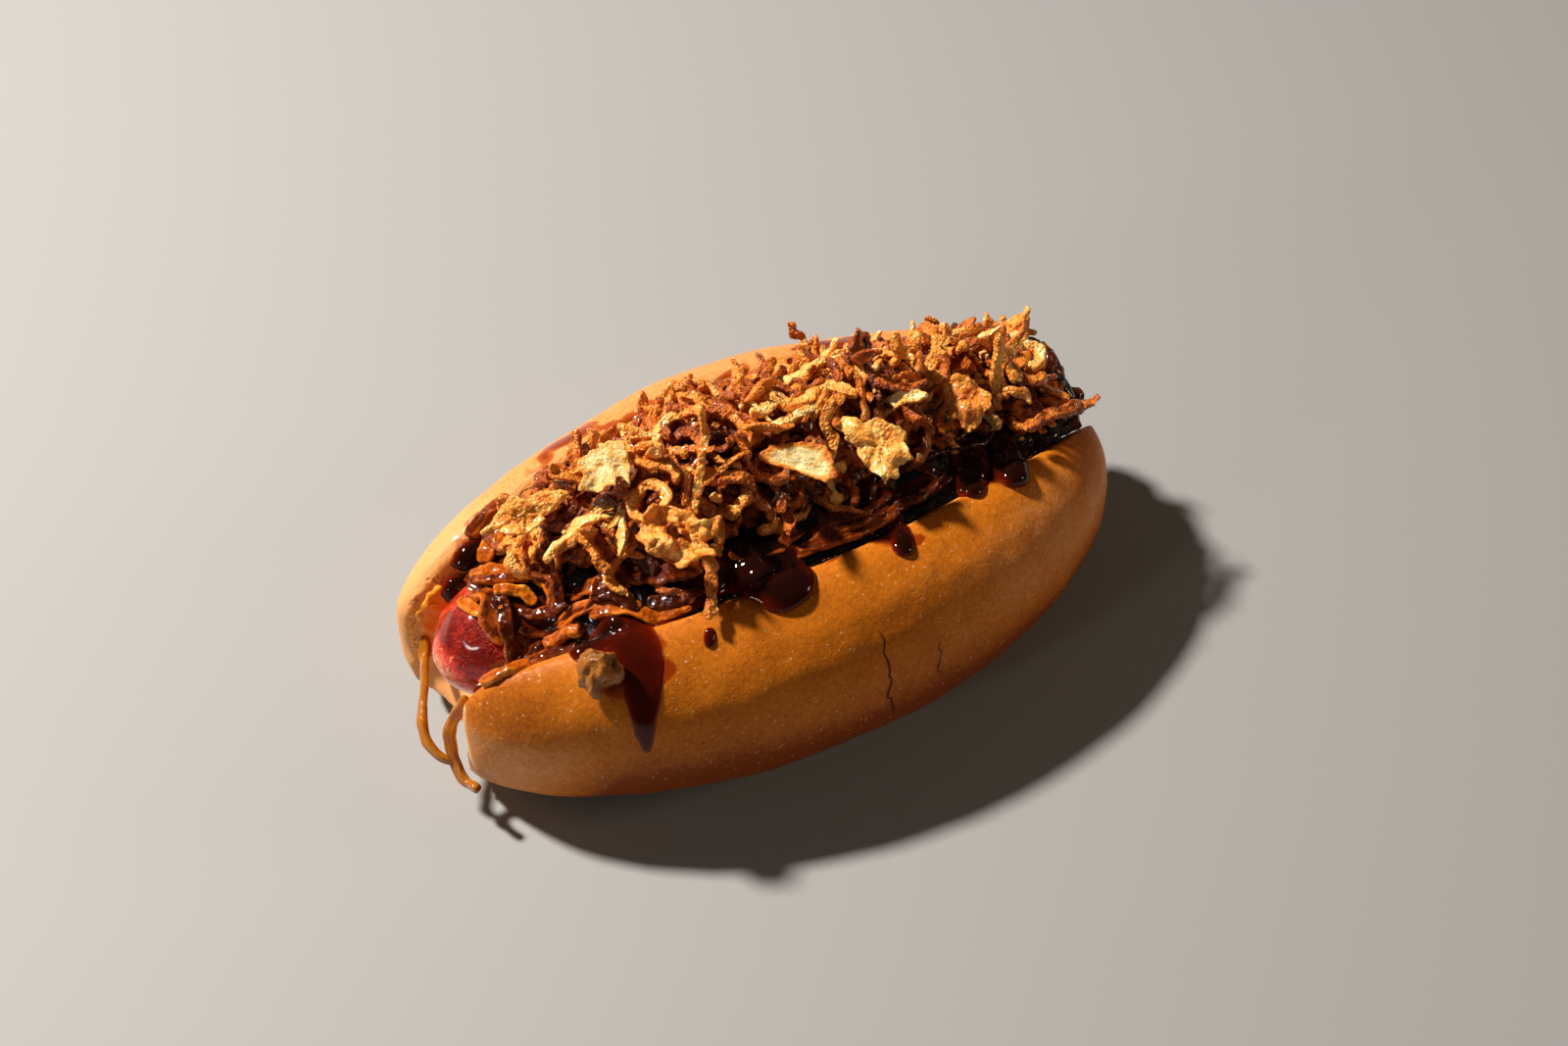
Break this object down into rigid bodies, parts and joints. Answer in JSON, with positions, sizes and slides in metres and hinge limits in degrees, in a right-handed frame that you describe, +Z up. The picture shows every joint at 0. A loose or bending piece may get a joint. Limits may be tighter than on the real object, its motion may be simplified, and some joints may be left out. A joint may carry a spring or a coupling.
{
  "type": "hot dog",
  "caption": "Hot dog: a top-split roll around a sausage with caramelised onions, dark sauce and a heap of crisp fried onions.",
  "frame": {"origin": "on the resting plane, under the middle of the whole hot dog's bounding box", "axes": "+X along the roll, away from the end where the sausage's bare tip shows; +Z up out of the cut; +Y towards the upright side wall, -Y towards the leaning one"},
  "size_m": [0.1544, 0.0895, 0.0655],
  "materials": {
    "golden_crust": "thin baked crust, fine-pored, satin",
    "sausage_skin": "smoked skin, moist and slightly wrinkled",
    "caramelised_onion": "dark, sticky and glossy",
    "crisp_onion": "deep-fried, dry and crumbly",
    "pale_flake": "lightly fried, dry with a little oil",
    "amber_strand": "translucent and glossy"
  },
  "bodies": {
    "root": {"bun": "golden_crust", "sausage": "sausage_skin", "caramelised_onions": "caramelised_onion", "crispy_onions": "crisp_onion", "flake_pale_square": "pale_flake", "flake_gold_leaf": "pale_flake", "flake_cream_almond": "pale_flake", "flake_gold_broad": "pale_flake", "flake_olive_leaf": "pale_flake", "flake_gold_curl": "pale_flake", "strand_looped": "amber_strand", "strand_hanging": "amber_strand", "strip_draped": "pale_flake", "strip_resting": "pale_flake", "stick_standing": "crisp_onion", "strand_far_end": "crisp_onion", "onion_lump": "amber_strand"}
  },
  "joints": []
}
